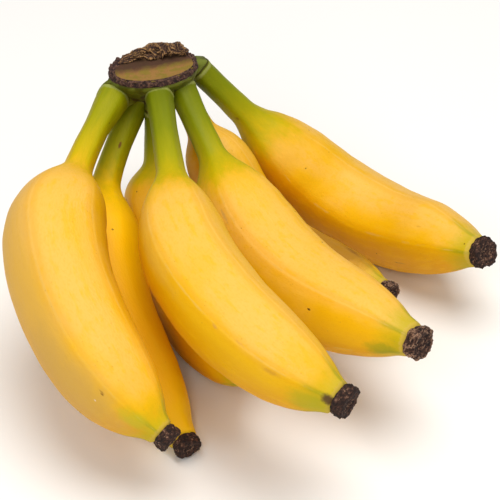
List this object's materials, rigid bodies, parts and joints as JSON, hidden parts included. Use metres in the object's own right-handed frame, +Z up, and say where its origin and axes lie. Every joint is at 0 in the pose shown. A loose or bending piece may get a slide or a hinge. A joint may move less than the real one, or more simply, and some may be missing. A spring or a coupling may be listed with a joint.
{
  "type": "hand of bananas",
  "caption": "Hand of small plump ripe bananas on one green crown, laid down with the cut face up.",
  "frame": {"origin": "on the table, under the middle of the hand's box", "axes": "+X along the hand's longest side, from the outermost curved fruit toward the fruit tips at the other side; +Y toward the crown, +Z up from the table"},
  "size_m": [0.1618, 0.1588, 0.0812],
  "materials": {
    "banana_skin": "smooth waxy yellow skin, green toward the stalk",
    "blossom_end": "dry, rough, dark brown",
    "crown_green": "smooth green pad with a dry tan cut",
    "dried_fibre": "dry, torn, brown"
  },
  "bodies": {
    "root": {"banana_1": "banana_skin", "blossom_end_1": "blossom_end", "banana_2": "banana_skin", "blossom_end_2": "blossom_end", "banana_3": "banana_skin", "blossom_end_3": "blossom_end", "banana_4": "banana_skin", "blossom_end_4": "blossom_end", "banana_5": "banana_skin", "blossom_end_5": "blossom_end", "banana_6": "banana_skin", "blossom_end_6": "blossom_end", "banana_7": "banana_skin", "blossom_end_7": "blossom_end", "crown": "crown_green", "crown_fibres": "dried_fibre"}
  },
  "joints": []
}
